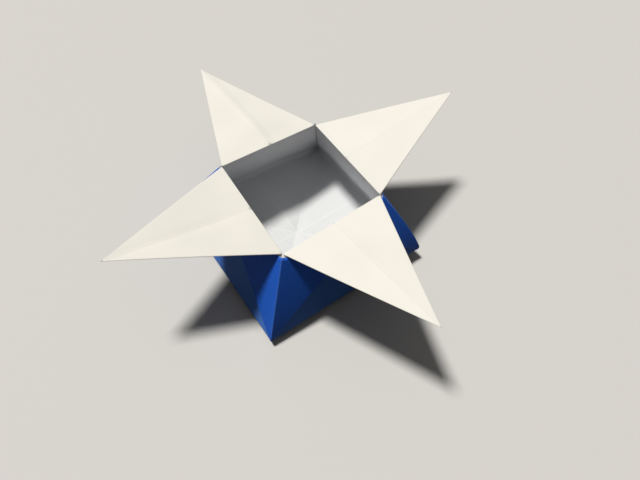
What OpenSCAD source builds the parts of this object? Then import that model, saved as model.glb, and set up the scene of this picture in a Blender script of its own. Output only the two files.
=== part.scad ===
// Horned paper box, folded from one square sheet.
// The walls lean inwards, the four corners of the sheet become horns that fold outwards
// over the rim, and the paper left over at each box corner is squashed flat into a kite
// whose spine runs up the outside of the corner. The box stands on the middle of its floor,
// which bellies down a little between the base corners.

/* [Sheet] */
// Side of the flat square sheet
sheet_side = 150; // [75:1:300]
// Thickness of the paper
paper_t = 0.1; // [0.06:0.01:0.14]

/* [Horns] */
// Lift of the horn on the +Y side above level, in degrees
lift_back = 0; // [-4:0.5:40]
// Lift of the horn on the +X side above level, in degrees
lift_right = 12; // [-4:0.5:40]
// Lift of the horn on the -Y side above level, in degrees
lift_front = 6.5; // [-4:0.5:40]
// Lift of the horn on the -X side above level, in degrees
lift_left = 8.5; // [-4:0.5:40]
// Gap between the two raw edges that meet under a horn
seam_gap = 0.5; // [0.3:0.1:2]

/* [Floor] */
// Half the width of the flat middle of the floor
rest_half = 9; // [4:0.5:15]
// Height of the two base corners below the drawn-in rim corners
drawn_rise = 4; // [0:0.1:6]
// Height of the base corner at +X +Y
back_rise = 0.8; // [0:0.1:6]
// Height of the base corner at -X -Y
front_rise = 1.8; // [0:0.1:6]

/* [Rim] */
// Distance of the rim crease above the top of the kite, measured up the ridge
rim_clear = 0.8; // [0.7:0.1:5]
// Distance by which two opposite rim corners are drawn in and the other two pushed out
rim_squeeze = 1; // [0:0.1:2]
// Gap between the folded edges of neighbouring walls, up the inside corner
corner_slit = 0.4; // [0.3:0.1:2]

/* [Folds] */
// Distance between the two layers of paper at a sharp fold
fold_gap = 0.25; // [0.2:0.05:0.35]
// Distance of the inner layer from the crease at the middle of the rim
tuck_gap = 0.8; // [0.5:0.1:2]
// Angle at which the folded-back paper springs away from the wall
flap_flare = 9.5; // [3:0.5:15]
// Stand-off of the kite's spine from the corner of the box, at the rim
spine_gap = 1.1; // [0.9:0.1:1.5]

/* [Hidden] */

// Angle between a horn's centre crease and its folded edges
horn_half_angle = 22.5;
// Angle between a base edge and the ridge that rises from its end
base_angle = 90 - horn_half_angle;
half_side = sheet_side / 2;
base_side = 2 * half_side * tan(horn_half_angle);
// The spine of a kite runs from a base corner straight to the nearest edge of the sheet
spine_len = half_side * tan(horn_half_angle);
// The edge of the sheet lands just below the rim, so that the horn folds over it
ridge_len = spine_len + rim_clear;
rim_side = base_side - 2 * ridge_len * cos(base_angle);
horn_len = half_side - ridge_len * cos(horn_half_angle);
// Angle between a kite's spine and its folded edge, half the corner of paper left over
kite_angle = base_angle / 2;
kite_edge_len = spine_len / cos(kite_angle);

// Sides are counted anticlockwise from +X, and side i runs from corner i to corner i + 1
sides = [0 : 3];
lifts = [lift_right, lift_back, lift_left, lift_front];
rises = [drawn_rise, back_rise, drawn_rise, front_rise];

function unit(v) = v / norm(v);
function square_to(v, axis) = unit(v - (v * axis) * axis);
function turned(v, axis, angle) =
    v * cos(angle) + cross(axis, v) * sin(angle) + axis * (axis * v) * (1 - cos(angle));

function outward(i) = [cos(90 * i), sin(90 * i), 0];
function diagonal(c) = [cos(90 * (c % 4) - 45), sin(90 * (c % 4) - 45), 0];
// Corners 0 and 2 are drawn in, corners 1 and 3 pushed out
function skew(c) = c % 2 == 0 ? 1 : -1;

// Corners of the box before the paper's own thickness is allowed for
function rest_corner(c) = diagonal(c) * rest_half * sqrt(2) + [0, 0, paper_t / 2];
function base_corner(c) = diagonal(c) * base_side / sqrt(2) + [0, 0, paper_t / 2 + rises[c % 4]];
// A ridge keeps its length, so a corner that is drawn in also drops
function rim_corner(c) =
    let (
        reach = rim_side / sqrt(2) - skew(c) * rim_squeeze,
        run = base_side / sqrt(2) - reach
    )
    base_corner(c) - diagonal(c) * run + [0, 0, sqrt(pow(ridge_len, 2) - pow(run, 2))];
function ridge_dir(c) = unit(rim_corner(c) - base_corner(c));

// Directions on side i
function along(i, c) = c == i ? [-outward(i).y, outward(i).x, 0] : [outward(i).y, -outward(i).x, 0];
function rim_mid(i) = (rim_corner(i) + rim_corner(i + 1)) / 2;
function rim_dir(i) = unit(rim_corner(i + 1) - rim_corner(i));
function wall_up(i) = unit(rim_mid(i) - (base_corner(i) + base_corner(i + 1)) / 2);
function wall_out(i) = unit(cross(along(i, i), wall_up(i)));
function horn_dir(i) = turned(square_to(outward(i), rim_dir(i)), rim_dir(i), -lifts[i]);
function horn_up(i) = cross(horn_dir(i), rim_dir(i));
// Out of the crook between the wall and the underside of the horn
function crook_dir(i) = unit(horn_dir(i) - wall_up(i));
function crook_half(i) = acos(crook_dir(i) * horn_dir(i));

// Points of the wall and horn, next to corner c
function base_end(i, c) = base_corner(c) + along(i, c) * corner_slit / 2;
function rim_end(i, c) = rim_corner(c) + unit(rim_mid(i) - rim_corner(c)) * corner_slit / 2;
function horn_tip(i) = rim_mid(i) + horn_dir(i) * horn_len;

// Points of the inner layer, folded back behind the wall and under the horn
function inner_foot(i, c) = base_end(i, c) + wall_out(i) * fold_gap;
function inner_rim_end(i, c) = rim_end(i, c) + crook_dir(i) * fold_gap / sin(crook_half(i));
function inner_rim_mid(i, c) =
    rim_mid(i) + crook_dir(i) * tuck_gap / sin(crook_half(i)) - along(i, c) * seam_gap / 2;
function inner_tip(i, c) =
    horn_tip(i) - horn_dir(i) * seam_gap / 2 / tan(horn_half_angle)
    - along(i, c) * seam_gap / 2 - horn_up(i) * fold_gap;

// The kite's folded edge would lie on the wall and end on its centre line,
// but it springs out about the ridge
function kite_edge_dir(i, c) =
    let (
        rise = base_angle - kite_angle,
        flat = along(i, c) * cos(rise) + square_to(wall_up(i), along(i, c)) * sin(rise)
    )
    turned(flat, ridge_dir(c), (c == i ? -1 : 1) * flap_flare);
function kite_out(i, c) =
    (c == i ? 1 : -1) * unit(cross(kite_edge_dir(i, c), ridge_dir(c)));
function inner_kite_end(i, c) =
    base_corner(c) + kite_edge_dir(i, c) * kite_edge_len - along(i, c) * seam_gap / 2;
function kite_end(i, c) = inner_kite_end(i, c) + kite_out(i, c) * fold_gap;
function spine_out(c) = square_to(diagonal(c), ridge_dir(c));
// Two folds of paper lie between the foot of the spine and the walls
function spine_foot(c) = base_corner(c) + spine_out(c) * 2 * fold_gap / (spine_out(c) * wall_out(c % 4));
function spine_top(c) =
    let (stood_off = base_corner(c) + ridge_dir(c) * spine_len + spine_out(c) * spine_gap)
    spine_foot(c) + unit(stood_off - spine_foot(c)) * spine_len;

function triangles(quad) = [[quad[0], quad[1], quad[2]], [quad[0], quad[2], quad[3]]];
function turned_over(facets) = [for (f = facets) [f[0], f[2], f[1]]];

// Facets of the sheet, each three points anticlockwise on its white side
function base_facets() = [
    for (i = sides) each [
        [[0, 0, paper_t / 2], rest_corner(i), rest_corner(i + 1)],
        each triangles([rest_corner(i), base_end(i, i), base_end(i, i + 1), rest_corner(i + 1)]),
        [rest_corner(i + 1), base_end(i, i + 1), base_end((i + 1) % 4, (i + 1) % 4)]
    ]
];
function wall_facets(i) = [
    [base_end(i, i), rim_end(i, i), rim_mid(i)],
    [base_end(i, i), rim_mid(i), base_end(i, i + 1)],
    [rim_mid(i), rim_end(i, i + 1), base_end(i, i + 1)]
];
function horn_facets(i) = [
    [rim_end(i, i), horn_tip(i), rim_mid(i)],
    [rim_mid(i), horn_tip(i), rim_end(i, i + 1)]
];
function inner_facets(i, c) = [
    each triangles([rim_end(i, c), base_end(i, c), inner_foot(i, c), inner_rim_end(i, c)]),
    each triangles([horn_tip(i), rim_end(i, c), inner_rim_end(i, c), inner_tip(i, c)]),
    [inner_rim_end(i, c), inner_foot(i, c), inner_kite_end(i, c)],
    [inner_rim_end(i, c), inner_kite_end(i, c), inner_rim_mid(i, c)],
    [inner_rim_end(i, c), inner_rim_mid(i, c), inner_tip(i, c)]
];
function kite_facets(i, c) = [
    each triangles([inner_kite_end(i, c), inner_foot(i, c), spine_foot(c), kite_end(i, c)]),
    [kite_end(i, c), spine_foot(c), spine_top(c)],
    [inner_foot(i, c), base_end(i, c), spine_foot(c)]
];
function corner_facet(c) = [base_end(c % 4, c), base_end((c + 3) % 4, c), spine_foot(c)];

sheet = [
    each base_facets(),
    for (i = sides) each [
        each wall_facets(i),
        each horn_facets(i),
        each inner_facets(i, i),
        each kite_facets(i, i),
        each turned_over(inner_facets(i, i + 1)),
        each turned_over(kite_facets(i, i + 1)),
        corner_facet(i)
    ]
];

// The two faces of the paper lie half a thickness to either side of the sheet. Where facets meet,
// the offset is the one that fits them best by least squares, with the larger facets counting more
function slope(f) = cross(f[1] - f[0], f[2] - f[0]);
function normal(f) = unit(slope(f));
function weight(f) = sqrt(norm(slope(f)));
function total(list) = [for (row = list) 1] * list;
function solved(m, v) =
    let (determinant = m[0] * cross(m[1], m[2]))
    (cross(m[1], m[2]) * v.x + cross(m[2], m[0]) * v.y + cross(m[0], m[1]) * v.z) / determinant;
// Keeps the offset short where all the facets at a point lie in one plane
steady = 0.001;
steady_rows = [[steady, 0, 0], [0, steady, 0], [0, 0, steady]];
function mitre(p) =
    let (
        around = [for (f = sheet) if (f[0] == p || f[1] == p || f[2] == p) f],
        rows = [for (k = [0 : 2]) total([for (f = around) weight(f) * normal(f)[k] * normal(f)])]
    )
    solved(rows + steady_rows, total([for (f = around) weight(f) * normal(f)]));
function white(p) = p + mitre(p) * paper_t / 2;
function blue(p) = p - mitre(p) * paper_t / 2;

edges = [for (f = sheet) each [[f[0], f[1]], [f[1], f[2]], [f[2], f[0]]]];
function is_raw(e) = len([for (other = edges) if (other[0] == e[1] && other[1] == e[0]) 1]) == 0;

module folded_sheet() {
    faces = [
        for (f = sheet) each [
            [white(f[0]), white(f[2]), white(f[1])],
            [blue(f[0]), blue(f[1]), blue(f[2])]
        ],
        for (e = edges)
            if (is_raw(e))
                each triangles([white(e[0]), white(e[1]), blue(e[1]), blue(e[0])])
    ];
    color("ivory")
        polyhedron(
            points = [for (f = faces) each f],
            faces = [for (k = [0 : len(faces) - 1]) [3 * k, 3 * k + 1, 3 * k + 2]]
        );
}

folded_sheet();
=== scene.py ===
# %% [markdown]
# # A horned paper box
# One square of thin paper, white on one face and printed royal blue on the other, is folded into an
# open box with four pointed horns. This lesson folds the sheet again inside Blender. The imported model
# is loaded first, as a fixed frame: it says where the box stands and how large it may be.

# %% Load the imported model
import math

import bpy
import numpy as np
from mathutils import Matrix, Vector
from mathutils.geometry import delaunay_2d_cdt


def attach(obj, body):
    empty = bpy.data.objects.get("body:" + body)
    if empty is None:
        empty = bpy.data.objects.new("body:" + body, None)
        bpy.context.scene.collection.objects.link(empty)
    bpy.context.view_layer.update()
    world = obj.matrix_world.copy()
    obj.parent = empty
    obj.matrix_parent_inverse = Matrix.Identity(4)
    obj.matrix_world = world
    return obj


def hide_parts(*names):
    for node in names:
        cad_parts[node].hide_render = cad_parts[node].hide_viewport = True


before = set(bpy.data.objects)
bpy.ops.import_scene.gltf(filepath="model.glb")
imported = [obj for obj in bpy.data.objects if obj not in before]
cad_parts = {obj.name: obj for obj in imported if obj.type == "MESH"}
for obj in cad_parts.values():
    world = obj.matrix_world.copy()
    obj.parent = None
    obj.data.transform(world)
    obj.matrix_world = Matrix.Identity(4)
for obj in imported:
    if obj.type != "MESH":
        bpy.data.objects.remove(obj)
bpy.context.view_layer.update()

# %% [markdown]
# ## The sizes of the fold
# Everything follows from the side of the flat square. Its four corners become the horns, and the square
# base lies turned by 45 degrees in the middle, so the base corners sit on the sheet's own centre lines.
# The walls rise from the base along ridges that run straight on into the edges of the horns. Sizes are
# written in millimetres, as a folder would measure them, and become metres only when the mesh is made.

# %% Sizes of the sheet and of its creases
MM = 0.001
SHEET_SIDE = 150.0
PAPER_THICKNESS = 0.1
HORN_HALF_ANGLE = math.radians(22.5)
KITE_ANGLE = (math.pi / 2 - HORN_HALF_ANGLE) / 2

half_side = SHEET_SIDE / 2
sheet_corner = half_side * math.sqrt(2)
spine_length = half_side * math.tan(HORN_HALF_ANGLE)
base_half = spine_length
# The rim crease lies a little above the top of the kites, so that the horns fold over them
RIM_CLEAR = 0.8
ridge_length = spine_length + RIM_CLEAR
rim_half = base_half - ridge_length * math.sin(HORN_HALF_ANGLE)
wall_height = ridge_length * math.cos(HORN_HALF_ANGLE)
horn_length = half_side - wall_height
kite_edge_length = spine_length / math.cos(KITE_ANGLE)
kite_edge_reach = spine_length * math.tan(KITE_ANGLE)
print(f"base {2 * base_half:.1f} mm, rim {2 * rim_half:.1f} mm, horn {horn_length:.1f} mm long")

# %% [markdown]
# ## The crease pattern
# The pattern repeats eight times round the sheet, so one eighth is enough: a triangle from the centre of
# the sheet to one of its corners and to the middle of a raw edge. Coordinates are (out, across): out runs
# from the centre towards the horn's tip, across runs sideways. The facets are triangles between named
# corners, and each layer of the finished box is made of a few of them.

# %% Corners and facets of one eighth of the sheet
diagonal_step = math.sqrt(0.5)
flat = {
    "centre": (0, 0),
    "base_middle": (base_half, 0),
    "base_corner": (base_half, base_half),
    "rim_middle": (base_half + wall_height, 0),
    "rim_corner": (base_half + wall_height, rim_half),
    "tip": (sheet_corner, 0),
    "tuck_rim": (sheet_corner - horn_length * diagonal_step, horn_length * diagonal_step),
    "kite_end": (sheet_corner / 2 + kite_edge_reach * diagonal_step,
                 sheet_corner / 2 - kite_edge_reach * diagonal_step),
    "spine_top": (sheet_corner / 2, sheet_corner / 2),
}
flat = {name: np.array(place, float) for name, place in flat.items()}

FACETS = {
    "base": ("centre", "base_middle", "base_corner"),
    "wall_low": ("base_corner", "base_middle", "rim_middle"),
    "wall_high": ("base_corner", "rim_middle", "rim_corner"),
    "horn": ("rim_corner", "rim_middle", "tip"),
    "tuck_low": ("base_corner", "rim_corner", "kite_end"),
    "tuck_high": ("rim_corner", "tuck_rim", "kite_end"),
    "tuck_horn": ("rim_corner", "tip", "tuck_rim"),
    "kite": ("base_corner", "kite_end", "spine_top"),
}
BASE_EDGE = ("base_middle", "base_corner")
FOLDS = [
    BASE_EDGE,
    ("base_corner", "rim_corner"),
    ("rim_corner", "tip"),
    ("rim_middle", "rim_corner"),
    ("rim_corner", "tuck_rim"),
    ("base_corner", "kite_end"),
    ("base_corner", "spine_top"),
]
print(f"{len(FACETS)} facets and {len(FOLDS)} folds in each eighth of the sheet")

# %% [markdown]
# ## How this box came out of the hands
# Folded by hand, the box isn't perfectly even. Two opposite rim corners are drawn in, each horn lifts by
# its own angle, the floor bellies a little so that the base corners stand off the table, and the
# folded-back paper springs away from the walls. Lists run over the sides (+X, +Y, -X, -Y) or over the
# corners, where corner n lies before side n, anticlockwise.

# %% Unevenness of the folded box
HORN_LIFTS = [math.radians(angle) for angle in (12.0, 0.0, 8.5, 6.5)]
# Heights of the base corners, and of the middles of the base edges above a straight line between them
CORNER_RISES = [4.0, 0.8, 4.0, 1.8]
EDGE_PLEATS = [0.2, 0.5, -0.2, -0.3]
RIM_SQUEEZE = 1.0
# Gaps between neighbouring walls, between the raw edges under a horn, and between folded layers
CORNER_SLIT = 0.04
SEAM_GAP = 0.5
FOLD_GAP = 0.25
TUCK_GAP = 0.8
# The folded-back paper springs off the wall, and the spines of the kites stand off the ridges
FLAP_FLARE = math.radians(9.5)
SPINE_GAPS = [0.6, 0.8, 0.5, 0.8]
sheet_middle = PAPER_THICKNESS / 2
UP = np.array([0.0, 0.0, 1.0])
print("horns lift by", [round(math.degrees(lift), 1) for lift in HORN_LIFTS], "degrees")

# %% [markdown]
# ## Where the corners go
# A few vector helpers are enough to place every corner of the crease pattern in space. The ridges keep
# their length, so a rim corner that is drawn in also drops. Layers that lie on each other get a small gap,
# because paper never folds to nothing.

# %% Vector helpers and the directions of each side
def unit(v):
    return v / np.linalg.norm(v)


def square_to(v, axis):
    """Direction of the part of v that is square to an axis."""
    return unit(v - (v @ axis) * axis)


def turned(v, axis, angle):
    spin = np.cross(axis, v) * math.sin(angle) + axis * (axis @ v) * (1 - math.cos(angle))
    return v * math.cos(angle) + spin


def outward(side):
    return np.array([(1.0, 0.0, 0.0), (0.0, 1.0, 0.0), (-1.0, 0.0, 0.0), (0.0, -1.0, 0.0)][side % 4])


def diagonal(corner):
    return unit(outward(corner) + outward(corner + 3))


def along(side, corner):
    """Direction along a side of the base, away from one of its two corners."""
    return outward(side + 1) if corner == side else outward(side + 3)


# %% Corners of the box
def base_corner(corner):
    return diagonal(corner) * base_half * math.sqrt(2) + UP * (sheet_middle + CORNER_RISES[corner % 4])


def rim_corner(corner):
    drawn_in = RIM_SQUEEZE if corner % 2 == 0 else -RIM_SQUEEZE
    reach = rim_half * math.sqrt(2) - drawn_in
    run = base_half * math.sqrt(2) - reach
    return base_corner(corner) - diagonal(corner) * run + UP * math.sqrt(ridge_length ** 2 - run ** 2)


def ridge_direction(corner):
    return unit(rim_corner(corner) - base_corner(corner))


def base_middle(side):
    return (base_corner(side) + base_corner(side + 1)) / 2 + UP * EDGE_PLEATS[side]


def rim_middle(side):
    return (rim_corner(side) + rim_corner(side + 1)) / 2


def rim_direction(side):
    return unit(rim_corner(side + 1) - rim_corner(side))


def wall_up(side):
    return unit(rim_middle(side) - (base_corner(side) + base_corner(side + 1)) / 2)


def wall_out(side):
    return unit(np.cross(along(side, side), wall_up(side)))


def horn_direction(side):
    level = square_to(outward(side), rim_direction(side))
    return turned(level, rim_direction(side), -HORN_LIFTS[side])


def horn_up(side):
    return np.cross(horn_direction(side), rim_direction(side))


# %% Corners of the folded-back layers
def crook(side, gap):
    """Step into the crook under a horn, that stays a gap away from both wall and horn."""
    out = unit(horn_direction(side) - wall_up(side))
    return out * gap / math.sin(math.acos(out @ horn_direction(side)))


def kite_edge_direction(side, corner):
    """Direction of the fold between tuck and kite: up the wall from the base corner, flared off it."""
    rise = math.pi / 2 - HORN_HALF_ANGLE - KITE_ANGLE
    run = along(side, corner)
    lying = run * math.cos(rise) + square_to(wall_up(side), run) * math.sin(rise)
    return turned(lying, ridge_direction(corner), -FLAP_FLARE if corner == side else FLAP_FLARE)


def kite_outward(side, corner):
    out = unit(np.cross(kite_edge_direction(side, corner), ridge_direction(corner)))
    return out if corner == side else -out


def spine(corner):
    """Foot and top of the line down the middle of a kite."""
    out = square_to(diagonal(corner), ridge_direction(corner))
    foot = base_corner(corner) + out * 2 * FOLD_GAP / (out @ wall_out(corner % 4))
    stood_off = base_corner(corner) + ridge_direction(corner) * spine_length + out * SPINE_GAPS[corner % 4]
    return foot, foot + unit(stood_off - foot) * spine_length


def folded_corners(side, corner):
    """Places in space of every facet's three corners, for the eighth between a side and a corner."""
    run = along(side, corner)
    seam = run * SEAM_GAP / 2
    tip = rim_middle(side) + horn_direction(side) * horn_length
    wall_foot = base_corner(corner) + run * CORNER_SLIT / 2
    wall_top = rim_corner(corner) + unit(rim_middle(side) - rim_corner(corner)) * CORNER_SLIT / 2
    tuck_foot = wall_foot + wall_out(side) * FOLD_GAP
    tuck_top = wall_top + crook(side, FOLD_GAP)
    tuck_middle = rim_middle(side) + crook(side, TUCK_GAP) - seam
    tuck_tip = tip - horn_up(side) * FOLD_GAP / 2
    tuck_kite = base_corner(corner) + kite_edge_direction(side, corner) * kite_edge_length - seam
    kite_end = tuck_kite + kite_outward(side, corner) * FOLD_GAP
    spine_foot, spine_top = spine(corner)
    return {
        "base": (UP * sheet_middle, base_middle(side), base_corner(corner)),
        "wall_low": (wall_foot, base_middle(side), rim_middle(side)),
        "wall_high": (wall_foot, rim_middle(side), wall_top),
        "horn": (wall_top, rim_middle(side), tip),
        "tuck_low": (tuck_foot, tuck_top, tuck_kite),
        "tuck_high": (tuck_top, tuck_middle, tuck_kite),
        "tuck_horn": (tuck_top, tuck_tip, tuck_middle),
        "kite": (spine_foot, kite_end, spine_top),
    }


tips = [rim_middle(side) + horn_direction(side) * horn_length for side in range(4)]
print("horn tips at", [np.round(tip, 1).tolist() for tip in tips])

# %% [markdown]
# ## A fine mesh of the flat sheet
# Blender's own constrained triangulation meshes one eighth of the sheet: it keeps the creases as edges and
# fills the rest with even triangles. Along each fold lie a few close rows of points, so that the fold can
# be round, while the flat paper between folds needs only coarse ones.

# %% Points of the flat mesh
GRID_STEP = 1.25
CREASE_STEP = 1.2
# Distances from a fold to the rows of points beside it
FOLD_ROWS = (0.05, 0.1, 0.15, 0.2, 0.27, 0.42)
# The floor's edges are bent more softly than the other folds, so their rows reach further
FLOOR_EDGE_ROWS = (0.65, 0.9, 1.2, 1.55, 1.95, 2.4, 2.9)
ROW_SPACING = 0.045
GRID_MARGIN = 0.8
outline = [flat["centre"], flat["tip"], flat["spine_top"]]


def line_points(start, end, step):
    count = max(2, round(np.linalg.norm(end - start) / step) + 1)
    return np.linspace(start, end, count)


def distance_to_line(points, start, end):
    run = end - start
    share = np.clip((points - start) @ run / (run @ run), 0, 1)
    return np.linalg.norm(points - start - share[:, None] * run, axis=1)


def inside_eighth(points, margin):
    out, across = points[:, 0], points[:, 1]
    past_edge = (sheet_corner - out - across) * diagonal_step
    past_diagonal = (out - across) * diagonal_step
    return (across > margin) & (past_diagonal > margin) & (past_edge > margin)


crease_lines = [("centre", "base_middle"), ("base_middle", "rim_middle"), ("rim_middle", "tip"),
                ("centre", "base_corner"), ("base_corner", "spine_top"), ("base_corner", "rim_corner"),
                ("rim_corner", "tip"), ("base_middle", "base_corner"), ("rim_middle", "rim_corner"),
                ("rim_corner", "tuck_rim"), ("base_corner", "kite_end"), ("tip", "tuck_rim"),
                ("tuck_rim", "kite_end"), ("kite_end", "spine_top")]
chains = [line_points(flat[start], flat[end], CREASE_STEP) for start, end in crease_lines]
print(f"{len(chains)} lines with {sum(map(len, chains))} points")

# %% Rows beside the folds, and the grid between them
fold_ends = [(flat[start], flat[end]) for start, end in FOLDS]
base_edge_ends = fold_ends[FOLDS.index(BASE_EDGE)]
rows = []
for number, (start, end) in enumerate(fold_ends):
    beside = unit(np.array([start[1] - end[1], end[0] - start[0]]))
    others = [ends for other, ends in enumerate(fold_ends) if other != number]
    wider_rows = FLOOR_EDGE_ROWS if FOLDS[number] == BASE_EDGE else ()
    for offset in FOLD_ROWS + wider_rows:
        for sign in (-1, 1):
            row = line_points(start, end, CREASE_STEP) + sign * offset * beside
            row = row[inside_eighth(row, ROW_SPACING)]
            nearest = np.min([distance_to_line(row, *ends) for ends in others], axis=0)
            rows.append(row[nearest > offset + ROW_SPACING])

grid_rows = np.arange(0, sheet_corner, GRID_STEP * math.sqrt(0.75))
grid = np.array([(out + GRID_STEP / 2 * (number % 2), across)
                 for number, across in enumerate(grid_rows)
                 for out in np.arange(0, sheet_corner, GRID_STEP)])
grid = grid[inside_eighth(grid, GRID_MARGIN / 2)]
grid = grid[np.min([distance_to_line(grid, *ends) for ends in fold_ends], axis=0) > GRID_MARGIN]
grid = grid[distance_to_line(grid, *base_edge_ends) > FLOOR_EDGE_ROWS[-1] + GRID_MARGIN / 2]
print(f"{sum(map(len, rows))} points beside the folds, {len(grid)} in the grid")

# %% Triangles of one eighth
INSIDE_ONLY = 1
POINT_GAP = 1e-4
points, edges = [], []
for chain in chains:
    edges += [(len(points) + k, len(points) + k + 1) for k in range(len(chain) - 1)]
    points += list(chain)
points += [point for row in rows for point in row] + list(grid)
border = list(range(len(points), len(points) + 3))
points = [Vector(point) for point in points + outline]
# The result starts with lists of points, edges and faces
result = delaunay_2d_cdt(points, edges, [border], INSIDE_ONLY, POINT_GAP)
eighth_points = np.array([tuple(point) for point in result[0]])
eighth_triangles = np.array([list(face) for face in result[2]])
print(f"one eighth has {len(eighth_points)} points and {len(eighth_triangles)} triangles")

# %% [markdown]
# ## Eight eighths make the sheet
# The eighth is mirrored and turned to fill the square. Points that fall on each other become one point, so
# the mesh is a single sheet of paper from raw edge to raw edge.

# %% The whole flat sheet
MERGE_DIGITS = 3
eighths = [(side, half) for side in range(4) for half in (0, 1)]


def to_sheet(points, side, half):
    out, across = points[:, 0], points[:, 1] * (1 if half else -1)
    forward, sideways = outward(side)[:2], outward(side + 1)[:2]
    return out[:, None] * forward + across[:, None] * sideways


everywhere = np.concatenate([to_sheet(eighth_points, side, half) for side, half in eighths])
rounded = np.round(everywhere, MERGE_DIGITS)
first_use, shared = np.unique(rounded, axis=0, return_index=True, return_inverse=True)[1:]
sheet_points = everywhere[first_use]
triangles = []
for copy in range(len(eighths)):
    corners = shared.ravel()[eighth_triangles + copy * len(eighth_points)]
    a, b, c = (sheet_points[corners[:, k]] for k in range(3))
    turn = (b - a)[:, 0] * (c - a)[:, 1] - (b - a)[:, 1] * (c - a)[:, 0]
    corners[turn < 0] = corners[turn < 0][:, ::-1]
    triangles.append(corners)
triangles = np.concatenate(triangles)
print(f"the sheet has {len(sheet_points)} points and {len(triangles)} triangles")

# %% [markdown]
# ## Folding
# Each facet is carried to its place by one affine map, found from its three corners. On its own that gives
# knife-sharp folds. Real paper bends round a small radius, so each point is averaged with its neighbours
# inside a small disc of the flat sheet: flat paper stays as it is, and every fold, also where several meet,
# becomes round by itself.

# %% Maps from the flat sheet to the folded box
facet_names = list(FACETS)
facet_corners = np.array([[flat[name] for name in FACETS[facet]] for facet in facet_names])
to_shares = np.linalg.inv(np.concatenate([facet_corners, np.ones((len(FACETS), 3, 1))], axis=2))
folded = np.array([[[folded_corners(side, side + half)[facet] for facet in facet_names]
                    for half in (0, 1)] for side in range(4)])


def find_facet(sheet):
    """Side, half, facet and shares of the facet's three corners, for points of the flat sheet."""
    out_per_side = np.stack([sheet @ outward(side)[:2] for side in range(4)])
    side = np.argmax(out_per_side, axis=0)
    out = out_per_side[side, np.arange(len(sheet))]
    across = out_per_side[(side + 1) % 4, np.arange(len(sheet))]
    half = (across > 0).astype(int)
    place = np.stack([out, np.abs(across), np.ones(len(sheet))], axis=1)
    shares = np.einsum("nj,fjk->nfk", place, to_shares)
    facet = np.argmax(shares.min(axis=2), axis=1)
    return side, half, facet, shares[np.arange(len(sheet)), facet]


def sharply_folded(sheet):
    side, half, facet, shares = find_facet(sheet)
    return np.einsum("nk,nkx->nx", shares, folded[side, half, facet])


print(f"{folded.shape[0] * folded.shape[1] * folded.shape[2]} facets in the whole sheet")

# %% Round folds
FOLD_RADIUS = 0.24
DISC_SAMPLES = 40
golden_angle = math.pi * (3 - math.sqrt(5))
spread = FOLD_RADIUS * np.sqrt((np.arange(DISC_SAMPLES) + 0.5) / DISC_SAMPLES)
angles = golden_angle * np.arange(DISC_SAMPLES)
disc = np.stack([spread * np.cos(angles), spread * np.sin(angles)], axis=1)


def back_on_sheet(sheet):
    """Points past a raw edge are mirrored back, so that the raw edges and the horn tips stay clean."""
    past = np.maximum(np.abs(sheet).sum(axis=1) - sheet_corner, 0)
    return sheet - np.sign(sheet) * past[:, None]


def distance_to_copies(name):
    """Distance from every point of the sheet to the nearest of a corner's eight copies."""
    copies = [to_sheet(flat[name][None], side, half) for side, half in eighths]
    return np.min([np.linalg.norm(sheet_points - copy, axis=1) for copy in copies], axis=0)


# Towards the tips and the rim corners the folds run together, so the disc shrinks there
TIP_REACH = 2.5
RIM_CORNER_REACH = 0.8
RIM_CORNER_SHARE = 0.25
tip_scale = distance_to_copies("tip") / TIP_REACH
rim_scale = np.maximum(distance_to_copies("rim_corner") / RIM_CORNER_REACH, RIM_CORNER_SHARE)
disc_scale = np.minimum(np.minimum(tip_scale, rim_scale), 1)[:, None]
box_points = np.zeros((len(sheet_points), 3))
for step in disc:
    for neighbour in (sheet_points + step * disc_scale, sheet_points - step * disc_scale):
        box_points += sharply_folded(back_on_sheet(neighbour)) / (2 * DISC_SAMPLES)
print("folded box spans", np.round(box_points.min(0), 1).tolist(), np.round(box_points.max(0), 1).tolist())

# %% [markdown]
# ## A floor pressed out by hand
# The box is opened by pushing its floor out from inside, so the edges of the floor are rounder than the
# folds, most of all at the back. A Bevel modifier could round them too, but fading it out towards the
# corners would take weights set edge by edge. Instead each point near such an edge is averaged along a
# line across it, over a wider reach than at the folds, and the reach shrinks towards the base corners,
# which are sharp.

# %% Soft edges of the floor
EDGE_REACH = [3.0, 3.0, 0.5, 0.5]
EDGE_SAMPLES = 60
CORNER_SHARE = 0.5
side, half, facet, shares = find_facet(sheet_points)
place = np.einsum("nk,nkx->nx", shares, facet_corners[facet])
in_box = np.isin(facet, [facet_names.index(name) for name in ("base", "wall_low", "wall_high")])
to_corner = np.maximum(base_half - place[:, 1], 0)
reach = np.minimum(np.array(EDGE_REACH)[side], CORNER_SHARE * to_corner)
near_edge = in_box & (np.abs(place[:, 0] - base_half) < reach)
forward = np.array([outward(number)[:2] for number in range(4)])[side]
soft_points = np.zeros_like(box_points)
for share in (np.arange(EDGE_SAMPLES) + 0.5) / EDGE_SAMPLES:
    shift = reach[:, None] * share * forward
    for neighbour in (sheet_points + shift, sheet_points - shift):
        soft_points += sharply_folded(neighbour) / (2 * EDGE_SAMPLES)
box_points[near_edge] = soft_points[near_edge]
print(f"{near_edge.sum()} points on the soft edges of the floor")

# %% [markdown]
# ## Bows and centre creases
# A horn is two layers of paper that bend together. A layer that is folded under is mirrored across the
# fold, so that a point and the one below it get the same bend. The horn on the +Y side has a clear ridge
# down its middle, the one on the -Y side a faint one, and the one on the -X side is slightly hollow. The
# kites at the corners bow outwards between their ends, and the creases that meet in the middle of the
# floor leave it faintly pleated.

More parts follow.
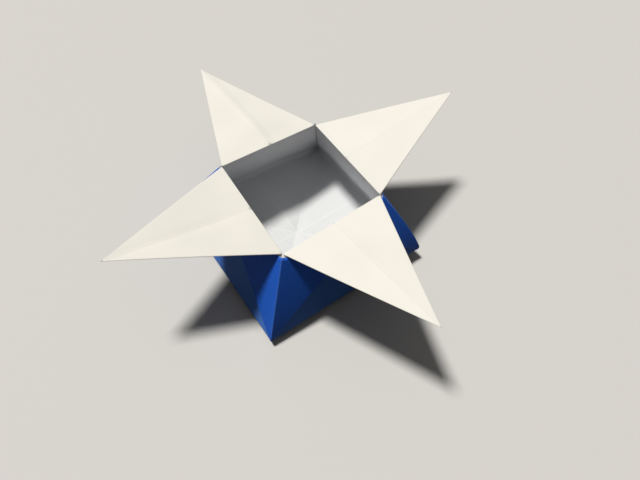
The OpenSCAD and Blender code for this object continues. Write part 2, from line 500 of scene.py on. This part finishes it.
# %% Bend the horns
HORN_CREASES = [math.tan(math.radians(angle)) for angle in (0.6, 4.0, -3.0, 1.5)]
HORN_RIDGES = [math.tan(math.radians(angle)) for angle in (1.0, 8.0, -4.0, 5.0)]
HORN_BOWS = [0.15, -0.2, 0.3, -0.2]
CREASE_RAMP = 12.0
RIDGE_RAMP = 2.0
RIDGE_HALF = 2.2


def smooth(x):
    x = np.clip(x, 0, 1)
    return x * x * (3 - 2 * x)


def arch(x):
    """A parabola that is nought at both ends and one in the middle."""
    return 4 * x * (1 - x)


tucked = np.isin(facet, [facet_names.index(name) for name in ("tuck_low", "tuck_high", "tuck_horn")])
fold_line = unit(flat["tip"] - flat["base_corner"])
beyond = place - flat["tip"]
mirrored = flat["tip"] + 2 * (beyond @ fold_line)[:, None] * fold_line - beyond
place = np.where(tucked[:, None], mirrored, place)

past_rim = place[:, 0] - flat["rim_middle"][0]
along_horn = np.clip(past_rim / horn_length, 0, 1)
bend = np.array(HORN_BOWS)[side] * arch(along_horn)
from_edge = (horn_length - past_rim) * math.tan(HORN_HALF_ANGLE) - place[:, 1]
bend += np.array(HORN_CREASES)[side] * np.maximum(from_edge, 0) * smooth(past_rim / CREASE_RAMP)
ridge = np.maximum(np.minimum(from_edge, RIDGE_HALF - place[:, 1]), 0)
bend += np.array(HORN_RIDGES)[side] * ridge * smooth(past_rim / RIDGE_RAMP)
lean = np.array([horn_up(number) for number in range(4)])[side]
on_horn = past_rim > 0
box_points += np.where(on_horn[:, None], bend[:, None] * lean, 0)
print(f"horns bend by up to {np.abs(bend[on_horn]).max():.2f} mm")

# %% Bow the kites
SPINE_BOWS = [1.2, 0.3, 0.1, 0.7]
# A power below one puts the fullest place of the bow below the middle of the spine
BOW_LOWERING = 0.75
corner = (side + half) % 4
on_kite = facet == facet_names.index("kite")
spine_line = np.array([diagonal_step, diagonal_step])
from_corner = place - flat["base_corner"]
along_spine = np.clip(from_corner @ spine_line / spine_length, 0, 1)
beside_spine = np.abs(from_corner @ np.array([diagonal_step, -diagonal_step]))
off_spine = np.arctan2(beside_spine, from_corner @ spine_line)
fade = np.clip(1 - off_spine / KITE_ANGLE, 0, 1)
bow = np.array(SPINE_BOWS)[corner] * arch(along_spine ** BOW_LOWERING) * fade
kite_lean = np.array([square_to(diagonal(c), ridge_direction(c)) for c in range(4)])[corner]
box_points += np.where(on_kite[:, None], bow[:, None] * kite_lean, 0)
print(f"kites bow by up to {bow[on_kite].max():.2f} mm")

# %% Pleat the middle of the floor
PLEAT_HEIGHT = 0.7
PLEAT_REACH = 5.0
# Heights of the eight creases round the centre, from +X anticlockwise
PLEATS = [0.5, 0.1, 1.0, 0.2, 0.5, 0.2, 0.9, 0.0]
on_base = facet == facet_names.index("base")
from_centre = np.linalg.norm(sheet_points, axis=1)
turn_share = np.arctan2(sheet_points[:, 1], sheet_points[:, 0]) / (2 * math.pi / len(PLEATS))
zigzag = np.interp(turn_share, range(len(PLEATS)), PLEATS, period=len(PLEATS))
fade = from_centre / PLEAT_REACH * np.exp(1 - from_centre / PLEAT_REACH)
box_points += np.where(on_base[:, None], (PLEAT_HEIGHT * zigzag * fade)[:, None] * UP, 0)
print(f"{on_base.sum()} points on the floor of the box")

# %% [markdown]
# ## Paper with two faces
# The folded surface is the middle of the paper. Solidify gives it its thickness, and its material offsets
# put white paper on the inner face, the blue print on the outer face and the paper's core on the cut edges.
# The flat place of each point is kept as an attribute: the materials draw fibres and creases in it, so
# they follow the sheet through every fold.

# %% Build the mesh
FACE_KINDS = ["white_paper", "blue_print", "cut_edge"]
mesh = bpy.data.meshes.new("folded_paper")
mesh.from_pydata((box_points * MM).tolist(), [], triangles.tolist())
flat_place = mesh.attributes.new("flat_place", "FLOAT_VECTOR", "POINT")
flat_place.data.foreach_set("vector", np.pad(sheet_points, ((0, 0), (0, 1))).astype(np.float32).ravel())
mesh.polygons.foreach_set("use_smooth", [True] * len(triangles))
paper = bpy.data.objects.new("folded_paper", mesh)
bpy.context.scene.collection.objects.link(paper)
for name in FACE_KINDS:
    mesh.materials.append(bpy.data.materials.new(name))
thickness = paper.modifiers.new("paper thickness", "SOLIDIFY")
thickness.thickness = PAPER_THICKNESS * MM
thickness.offset = 0
thickness.material_offset = FACE_KINDS.index("blue_print")
thickness.material_offset_rim = FACE_KINDS.index("cut_edge")
solid = bpy.data.meshes.new_from_object(paper.evaluated_get(bpy.context.evaluated_depsgraph_get()))
paper.modifiers.clear()
paper.data = solid
solid.name = "folded_paper"
print(f"the paper has {len(solid.polygons)} faces")

# %% [markdown]
# ## Unwrap the two faces
# A sheet of paper is the easiest thing to unwrap: its flat place already is the map. The white face goes
# into one half of the square, the blue face into the other, and the cut edges into a narrow strip.

# %% Read the finished mesh
loop_vertex = np.zeros(len(solid.loops), int)
solid.loops.foreach_get("vertex_index", loop_vertex)
kind = np.zeros(len(solid.polygons), int)
solid.polygons.foreach_get("material_index", kind)
loop_total = np.zeros(len(solid.polygons), int)
solid.polygons.foreach_get("loop_total", loop_total)
loop_kind = np.repeat(kind, loop_total)
loop_face = np.repeat(np.arange(len(solid.polygons)), loop_total)
vertex_place = np.zeros(len(solid.vertices) * 3)
solid.attributes["flat_place"].data.foreach_get("vector", vertex_place)
loop_place = vertex_place.reshape(-1, 3)[loop_vertex][:, :2]
print(f"{len(loop_vertex)} face corners to place in the map")

# %% Texture map
MAP_MARGIN = 0.01
FACE_WIDTH = 0.465
STRIP_LEFT = 0.97
STRIP_WIDTH = 0.02
map_height = 1 - 2 * MAP_MARGIN
across_sheet = loop_place @ np.array([1.0, 1.0]) * diagonal_step / SHEET_SIDE + 0.5
along_sheet = loop_place @ np.array([-1.0, 1.0]) * diagonal_step / SHEET_SIDE + 0.5
face_left = MAP_MARGIN + loop_kind * (FACE_WIDTH + MAP_MARGIN)
u = face_left + across_sheet * FACE_WIDTH
v = MAP_MARGIN + along_sheet * map_height

# The cut edges of the four sides of the sheet lie end to end on the strip
face_middle = np.zeros((len(solid.polygons), 2))
np.add.at(face_middle, loop_face, loop_place / loop_total[loop_face][:, None])
quarter = (np.floor(np.arctan2(face_middle[:, 1], face_middle[:, 0]) / (math.pi / 2)) % 4)[loop_face]
on_strip = loop_kind == FACE_KINDS.index("cut_edge")
along_edge = np.where(quarter % 2 == 0, along_sheet, across_sheet)
second_face = loop_vertex >= len(sheet_points)
u[on_strip] = STRIP_LEFT + STRIP_WIDTH * second_face[on_strip]
v[on_strip] = (MAP_MARGIN + (quarter + along_edge) / 4 * map_height)[on_strip]
texture_map = solid.uv_layers.new(name="OFBake")
texture_map.data.foreach_set("uv", np.stack([u, v], axis=1).astype(np.float32).ravel())
print(f"texture map from {u.min():.3f}, {v.min():.3f} to {u.max():.3f}, {v.max():.3f}")

# %% [markdown]
# ## Shared paper effects
# Both faces are the same paper, so the effects they share are node groups. One draws the fibres: fine
# grain for the bump, small flecks, and a slow change of tone. Another measures how far a place on the
# sheet is from the nearest fold, and from the lines that were creased and opened again on the way. The
# last one tells apart the zones of the sheet: the box itself, where the white face gets painted shade,
# and the part of it that is a single layer thick, where painted light stands for the light and the
# colour of the other face that come through.

# %% Helpers for node groups
def new_group(name, inputs, outputs):
    """A shader node group with named sockets, and the two nodes at its ends."""
    group = bpy.data.node_groups.new(name, "ShaderNodeTree")
    for socket, kind in inputs:
        group.interface.new_socket(socket, in_out="INPUT", socket_type=kind)
    for socket, kind in outputs:
        group.interface.new_socket(socket, in_out="OUTPUT", socket_type=kind)
    return group, group.nodes.new("NodeGroupInput"), group.nodes.new("NodeGroupOutput")


def feed(tree, value, socket):
    """Link another node's output to a socket, or set a plain number on it."""
    if isinstance(value, bpy.types.NodeSocket):
        tree.links.new(value, socket)
    else:
        socket.default_value = value


# %% Helpers for single nodes
def math_node(tree, operation, *values, clamp=False):
    node = tree.nodes.new("ShaderNodeMath")
    node.operation = operation
    node.use_clamp = clamp
    for value, socket in zip(values, node.inputs):
        feed(tree, value, socket)
    return node.outputs["Value"]


def vector_node(tree, operation, *values):
    node = tree.nodes.new("ShaderNodeVectorMath")
    node.operation = operation
    for value, socket in zip(values, node.inputs):
        feed(tree, value, socket)
    return node.outputs["Value" if operation in ("DOT_PRODUCT", "LENGTH") else "Vector"]


def range_node(tree, value, low, high, to_low, to_high):
    """A smooth step from one result to another, while the value goes from low to high."""
    node = tree.nodes.new("ShaderNodeMapRange")
    node.interpolation_type = "SMOOTHSTEP"
    for number, given in enumerate((value, low, high, to_low, to_high)):
        feed(tree, given, node.inputs[number])
    return node.outputs["Result"]


def noise_node(tree, place, scale, detail, roughness):
    node = tree.nodes.new("ShaderNodeTexNoise")
    feed(tree, place, node.inputs["Vector"])
    node.inputs["Scale"].default_value = scale
    node.inputs["Detail"].default_value = detail
    node.inputs["Roughness"].default_value = roughness
    return node.outputs["Fac"]


def mix_node(tree, share, first, second):
    node = tree.nodes.new("ShaderNodeMix")
    node.data_type = "RGBA"
    feed(tree, share, node.inputs["Factor"])
    # A Mix node has hidden sockets for each kind of data: 6, 7 and 2 are those for colours
    feed(tree, first, node.inputs[6])
    feed(tree, second, node.inputs[7])
    return node.outputs[2]


# %% Paper fibre group
# Scale per millimetre, detail and roughness of each noise
FIBRES = (2.6, 3.0, 0.6)
FLECKS = (1.4, 2.0, 0.7)
TONES = (0.045, 2.0, 0.5)
# Values of the noise between which a fleck or a tone comes up
FLECK_RANGE = (0.56, 0.72)
TONE_RANGE = (0.3, 0.7)
fibre_group, given, wanted = new_group(
    "paper_fibre",
    [("Place", "NodeSocketVector")],
    [("Grain", "NodeSocketFloat"), ("Fleck", "NodeSocketFloat"), ("Tone", "NodeSocketFloat")])
grain = noise_node(fibre_group, given.outputs["Place"], *FIBRES)
fleck = noise_node(fibre_group, given.outputs["Place"], *FLECKS)
tone = noise_node(fibre_group, given.outputs["Place"], *TONES)
fibre_group.links.new(grain, wanted.inputs["Grain"])
fibre_group.links.new(range_node(fibre_group, fleck, *FLECK_RANGE, 0.0, 1.0), wanted.inputs["Fleck"])
fibre_group.links.new(range_node(fibre_group, tone, *TONE_RANGE, 0.0, 1.0), wanted.inputs["Tone"])
print(f"fibre group of {len(fibre_group.nodes)} nodes")

# %% Crease group
MARKS = [("centre", "tip"), ("centre", "base_corner")]
crease_group, given, wanted = new_group(
    "sheet_creases",
    [("Place", "NodeSocketVector"), ("Fold Width", "NodeSocketFloat"), ("Mark Width", "NodeSocketFloat")],
    [("Folds", "NodeSocketFloat"), ("Marks", "NodeSocketFloat")])


def eighth_place(tree, place):
    """Place on the whole sheet, mirrored into the one eighth that the crease pattern describes."""
    split = tree.nodes.new("ShaderNodeSeparateXYZ")
    tree.links.new(vector_node(tree, "ABSOLUTE", place), split.inputs[0])
    join = tree.nodes.new("ShaderNodeCombineXYZ")
    for axis, operation in zip("XY", ("MAXIMUM", "MINIMUM")):
        chosen = math_node(tree, operation, split.outputs["X"], split.outputs["Y"])
        tree.links.new(chosen, join.inputs[axis])
    return join.outputs["Vector"]


def nearest_line(lines):
    """Distance from a place in the eighth to the nearest of some lines of the crease pattern."""
    nearest = None
    for start, end in lines:
        run = np.append(flat[end] - flat[start], 0)
        gap = vector_node(crease_group, "SUBTRACT", crease_place, (*flat[start], 0))
        reach = vector_node(crease_group, "DOT_PRODUCT", gap, tuple(run / (run @ run)))
        share = math_node(crease_group, "ADD", reach, 0.0, clamp=True)
        scale = crease_group.nodes.new("ShaderNodeVectorMath")
        scale.operation = "SCALE"
        scale.inputs[0].default_value = tuple(run)
        crease_group.links.new(share, scale.inputs["Scale"])
        away = vector_node(crease_group, "SUBTRACT", gap, scale.outputs[0])
        away = vector_node(crease_group, "LENGTH", away)
        nearest = away if nearest is None else math_node(crease_group, "MINIMUM", nearest, away)
    return nearest


crease_place = eighth_place(crease_group, given.outputs["Place"])
for lines, width, output in ((FOLDS, "Fold Width", "Folds"), (MARKS, "Mark Width", "Marks")):
    share = math_node(crease_group, "DIVIDE", nearest_line(lines), given.outputs[width])
    crease_group.links.new(range_node(crease_group, share, 0.0, 1.0, 1.0, 0.0), wanted.inputs[output])
print(f"crease group of {len(crease_group.nodes)} nodes")

# %% Zone group
ZONE_BLUR = 0.3
kite_top = base_half * math.tan(KITE_ANGLE)
zone_group, given, wanted = new_group(
    "sheet_zones",
    [("Place", "NodeSocketVector")],
    [("Box", "NodeSocketFloat"), ("Single", "NodeSocketFloat")])
zone_place = eighth_place(zone_group, given.outputs["Place"])


def below(normal, limit, blur):
    """Mask of the places whose product with a direction stays below a limit."""
    reach = vector_node(zone_group, "DOT_PRODUCT", zone_place, normal)
    return range_node(zone_group, reach, limit - blur, limit + blur, 1.0, 0.0)


under_rim = below((1, 0, 0), base_half + wall_height, ZONE_BLUR)
ridge_normal = (math.sin(HORN_HALF_ANGLE), math.cos(HORN_HALF_ANGLE), 0)
inside_ridge = below(ridge_normal, sheet_corner * math.sin(HORN_HALF_ANGLE), ZONE_BLUR)
zone_group.links.new(math_node(zone_group, "MULTIPLY", under_rim, inside_ridge), wanted.inputs["Box"])
below_kites = below((1 / kite_top, 1 / base_half, 0), 1 + base_half / kite_top, ZONE_BLUR / base_half)
zone_group.links.new(below_kites, wanted.inputs["Single"])
print(f"zone group of {len(zone_group.nodes)} nodes")

# %% [markdown]
# ## The two faces and the cut edge
# The white face is uncoated paper: matt, with a fine grain and slightly uneven in tone. Along its creases
# it has a painted shade on the horns and a painted highlight inside the box. The inside of the box is
# painted in shade, and where the paper is a single layer it is painted with the light that comes through.
# The blue print is a thin layer of ink on the same paper, a little smoother, with small pale flecks, and
# rubbed paler along the folds, where the ink has cracked. Where it is a single layer it is painted paler
# with the light that comes through.

# %% Helpers for the paper materials
FOLD_WIDTH = 0.5
MARK_WIDTH = 0.35
GRAIN_RANGE = (0.3, 0.7)


def paper_material(name):
    material = bpy.data.materials[name]
    material.use_nodes = True
    return material.node_tree, material.node_tree.nodes["Principled BSDF"]


def add_effect(tree, group):
    """One of the shared groups, fed with the flat place of the paper."""
    place = tree.nodes.new("ShaderNodeAttribute")
    place.attribute_name = "flat_place"
    effect = tree.nodes.new("ShaderNodeGroup")
    effect.node_tree = group
    tree.links.new(place.outputs["Vector"], effect.inputs["Place"])
    return effect


def add_creases(tree):
    creases = add_effect(tree, crease_group)
    creases.inputs["Fold Width"].default_value = FOLD_WIDTH
    creases.inputs["Mark Width"].default_value = MARK_WIDTH
    return creases.outputs


def add_roughness(tree, shader, grain, smoothest, roughest):
    roughness = range_node(tree, grain, *GRAIN_RANGE, smoothest, roughest)
    tree.links.new(roughness, shader.inputs["Roughness"])


def add_bump(tree, shader, height, strength, depth):
    """Strength is a share, depth is in millimetres."""
    bump = tree.nodes.new("ShaderNodeBump")
    bump.inputs["Strength"].default_value = strength
    bump.inputs["Distance"].default_value = depth * MM
    tree.links.new(height, bump.inputs["Height"])
    tree.links.new(bump.outputs["Normal"], shader.inputs["Normal"])


# %% White face
WHITE = (0.85, 0.84, 0.80, 1)
WHITE_SHADE = (0.82, 0.81, 0.775, 1)
# Painted shade: the inside of the box, floor and walls, is painted darker and cooler than the horns
BOX_PAINTED_SHADE = (0.735, 0.74, 0.76, 1)
# Painted light: where the wall is a single layer, its white face is painted bluish for light that comes
# through the blue print
WHITE_PAINTED_LIGHT_THROUGH = (0.71, 0.73, 0.76, 1)
# Painted highlight: the creases inside the box are painted lighter, as ridges that catch the light
CREASE_PAINTED_HIGHLIGHT = (0.84, 0.85, 0.85, 1)
# Painted shade: the creases outside the box are painted darker, as shade along the fold
CREASE_PAINTED_SHADE = (0.70, 0.69, 0.67, 1)
# Shares of the painted shade along the creases on the horns and of the painted highlight on the creases
# inside the box
HORN_SHADE_SHARE = 0.25
INNER_HIGHLIGHT_SHARE = 0.5
WHITE_ROUGHNESS = (0.78, 0.92)
WHITE_SPECULAR = 0.3
WHITE_BUMP = (0.25, 0.04)
tree, shader = paper_material("white_paper")
fibre = add_effect(tree, fibre_group).outputs
creases = add_creases(tree)
zones = add_effect(tree, zone_group).outputs
base = mix_node(tree, fibre["Tone"], WHITE, WHITE_SHADE)
# Painted shade along the creases outside the box
base = mix_node(tree, math_node(tree, "MULTIPLY", creases["Marks"], HORN_SHADE_SHARE), base, CREASE_PAINTED_SHADE)
# Painted shade over the whole inside of the box
base = mix_node(tree, zones["Box"], base, BOX_PAINTED_SHADE)
# Painted light coming through the single layer
base = mix_node(tree, zones["Single"], base, WHITE_PAINTED_LIGHT_THROUGH)
# Painted highlight along the creases inside the box, which also raise the bump there
inner_crease_lines = math_node(tree, "MULTIPLY", creases["Marks"], zones["Box"])
base = mix_node(tree, math_node(tree, "MULTIPLY", inner_crease_lines, INNER_HIGHLIGHT_SHARE), base, CREASE_PAINTED_HIGHLIGHT)
tree.links.new(base, shader.inputs["Base Color"])
add_roughness(tree, shader, fibre["Grain"], *WHITE_ROUGHNESS)
shader.inputs["Specular IOR Level"].default_value = WHITE_SPECULAR
height = math_node(tree, "ADD", fibre["Grain"], inner_crease_lines)
add_bump(tree, shader, height, *WHITE_BUMP)
print(f"white face of {len(tree.nodes)} nodes")

# %% Blue face
BLUE = (0.014, 0.122, 0.65, 1)
BLUE_SHADE = (0.011, 0.102, 0.58, 1)
BLUE_FLECK = (0.05, 0.19, 0.72, 1)
# Painted light: where the wall is a single layer, the blue is painted paler and greyer for light that comes
# through from inside the box
BLUE_PAINTED_LIGHT_THROUGH = (0.065, 0.185, 0.60, 1)
BLUE_WORN = (0.12, 0.25, 0.66, 1)
FLECK_SHARE = 0.6
# Values of the grain between which the ink cracks on a fold, and the share of worn colour there
CRACK_RANGE = (0.4, 0.65)
CRACK_SHARE = 0.6
BLUE_ROUGHNESS = (0.55, 0.7)
BLUE_SPECULAR = 0.25
BLUE_BUMP = (0.3, 0.04)
tree, shader = paper_material("blue_print")
fibre = add_effect(tree, fibre_group).outputs
creases = add_creases(tree)
zones = add_effect(tree, zone_group).outputs
base = mix_node(tree, fibre["Tone"], BLUE, BLUE_SHADE)
# Painted light coming through the single layer
base = mix_node(tree, zones["Single"], base, BLUE_PAINTED_LIGHT_THROUGH)
base = mix_node(tree, math_node(tree, "MULTIPLY", fibre["Fleck"], FLECK_SHARE), base, BLUE_FLECK)
crack = range_node(tree, fibre["Grain"], *CRACK_RANGE, 0.0, CRACK_SHARE)
base = mix_node(tree, math_node(tree, "MULTIPLY", creases["Folds"], crack), base, BLUE_WORN)
tree.links.new(base, shader.inputs["Base Color"])
add_roughness(tree, shader, fibre["Grain"], *BLUE_ROUGHNESS)
shader.inputs["Specular IOR Level"].default_value = BLUE_SPECULAR
add_bump(tree, shader, fibre["Grain"], *BLUE_BUMP)
print(f"blue face of {len(tree.nodes)} nodes")

# %% Cut edge
EDGE_WHITE = (0.83, 0.84, 0.86, 1)
EDGE_BLUE = (0.45, 0.55, 0.78, 1)
EDGE_ROUGHNESS = (0.85, 0.95)
EDGE_BUMP = (0.2, 0.03)
tree, shader = paper_material("cut_edge")
fibre = add_effect(tree, fibre_group).outputs
tree.links.new(mix_node(tree, fibre["Fleck"], EDGE_WHITE, EDGE_BLUE), shader.inputs["Base Color"])
add_roughness(tree, shader, fibre["Grain"], *EDGE_ROUGHNESS)
add_bump(tree, shader, fibre["Grain"], *EDGE_BUMP)
print("materials:", [material.name for material in solid.materials])

# %% [markdown]
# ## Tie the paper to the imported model
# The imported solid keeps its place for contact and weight. The new sheet stands for it in the picture and
# rides on the part's only body.

# %% Replace the plain solid
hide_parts("folded_sheet")
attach(paper, "root")

# %% [markdown]
# ## Table, light and camera
# The box stands on a plain pale surface. One soft lamp, high up behind the box, gives the shadow of a
# ceiling light. It is a Sun lamp, so the surface is lit evenly to the horizon, and its angle makes the
# edges of the shadows soft. The room adds a glow from the ceiling and little from its sides. The surface
# looks pale to the camera, but sends little light back up, so that the sides of the box below the horns
# keep their deep shade. The camera looks down on the box from the front left corner with a wide lens,
# close to the paper.

# %% Pale floor
FLOOR_SIZE = 12.0
FLOOR_PALE = 0.62
FLOOR_BOUNCE = 0.02
FLOOR_ROUGHNESS = 0.8


def seen_or_not(tree, unseen, seen):
    """One value for light that falls on the box, another for the camera and for reflections."""
    ray = tree.nodes.new("ShaderNodeLightPath")
    looking = math_node(tree, "MAXIMUM", ray.outputs["Is Camera Ray"], ray.outputs["Is Glossy Ray"])
    looking = math_node(tree, "MAXIMUM", looking, ray.outputs["Is Transmission Ray"])
    node = tree.nodes.new("ShaderNodeMapRange")
    feed(tree, looking, node.inputs["Value"])
    feed(tree, unseen, node.inputs["To Min"])
    feed(tree, seen, node.inputs["To Max"])
    return node.outputs["Result"]


floor_mesh = bpy.data.meshes.new("floor")
floor_half = FLOOR_SIZE / 2
floor_corners = [(x * floor_half, y * floor_half, 0) for x, y in ((-1, -1), (1, -1), (1, 1), (-1, 1))]
floor_mesh.from_pydata(floor_corners, [], [(0, 1, 2, 3)])
floor = bpy.data.objects.new("floor", floor_mesh)
bpy.context.scene.collection.objects.link(floor)
floor_material = bpy.data.materials.new("pale_floor")
floor_material.use_nodes = True
tree = floor_material.node_tree
floor_shader = tree.nodes["Principled BSDF"]
floor_tone = seen_or_not(tree, FLOOR_BOUNCE, FLOOR_PALE)
tree.links.new(floor_tone, floor_shader.inputs["Base Color"])
floor_shader.inputs["Roughness"].default_value = FLOOR_ROUGHNESS
floor_mesh.materials.append(floor_material)
print(f"floor {FLOOR_SIZE:.0f} m wide")

# %% Lamp
LAMP_FROM = Vector((-0.2, 0.33, 0.922)).normalized()
LAMP_WIDTH = math.radians(9.1)
LAMP_STRENGTH = 3.34
LAMP_COLOUR = (1.0, 0.965, 0.895)
lamp_data = bpy.data.lights.new("ceiling_lamp", "SUN")
lamp_data.angle = LAMP_WIDTH
lamp_data.energy = LAMP_STRENGTH
lamp_data.color = LAMP_COLOUR
lamp = bpy.data.objects.new("ceiling_lamp", lamp_data)
lamp.location = LAMP_FROM
lamp.rotation_euler = LAMP_FROM.to_track_quat("Z", "Y").to_euler()
bpy.context.scene.collection.objects.link(lamp)
print(f"lamp {math.degrees(math.asin(LAMP_FROM.z)):.0f} degrees above the table")

# %% Surroundings
ROOM_SIDES = 0.02
ROOM_CEILING = 0.2
# Upward share of a direction where the glow of the ceiling begins, and where it is full
CEILING_EDGE = 0.6
CEILING_MIDDLE = 0.95
ROOM_PALE = 0.67
ROOM_COLOUR = (1.0, 0.965, 0.915, 1)
world = bpy.data.worlds.new("pale_room")
world.use_nodes = True
tree = world.node_tree
sky = tree.nodes["Background"]
sky.inputs["Color"].default_value = ROOM_COLOUR
direction = tree.nodes.new("ShaderNodeTexCoord")
upward = vector_node(tree, "DOT_PRODUCT", direction.outputs["Generated"], tuple(UP))
room_light = range_node(tree, upward, CEILING_EDGE, CEILING_MIDDLE, ROOM_SIDES, ROOM_CEILING)
feed(tree, seen_or_not(tree, room_light, ROOM_PALE), sky.inputs["Strength"])
bpy.context.scene.world = world
bpy.context.scene.view_settings.view_transform = "Standard"
print(f"room light from {ROOM_SIDES} at the sides to {ROOM_CEILING} at the ceiling")

# %% Camera
CAMERA_AT = Vector((-65.78, -86.43, 159.57)) * MM
CAMERA_AIM = Vector((5.46, -6.87, 0.0)) * MM
CAMERA_ROLL = math.radians(-7.68)
CAMERA_LENS = 29.55
SENSOR_WIDTH = 36.0
NEAREST_SEEN = 10 * MM
camera_data = bpy.data.cameras.new("camera")
camera_data.lens = CAMERA_LENS
camera_data.sensor_width = SENSOR_WIDTH
camera_data.clip_start = NEAREST_SEEN
camera = bpy.data.objects.new("camera", camera_data)
look = (CAMERA_AIM - CAMERA_AT).to_track_quat("-Z", "Y").to_matrix().to_4x4()
camera.matrix_world = Matrix.Translation(CAMERA_AT) @ look @ Matrix.Rotation(-CAMERA_ROLL, 4, "Z")
bpy.context.scene.collection.objects.link(camera)
bpy.context.scene.camera = camera
print(f"camera {(CAMERA_AT - CAMERA_AIM).length / MM:.0f} mm from the box")
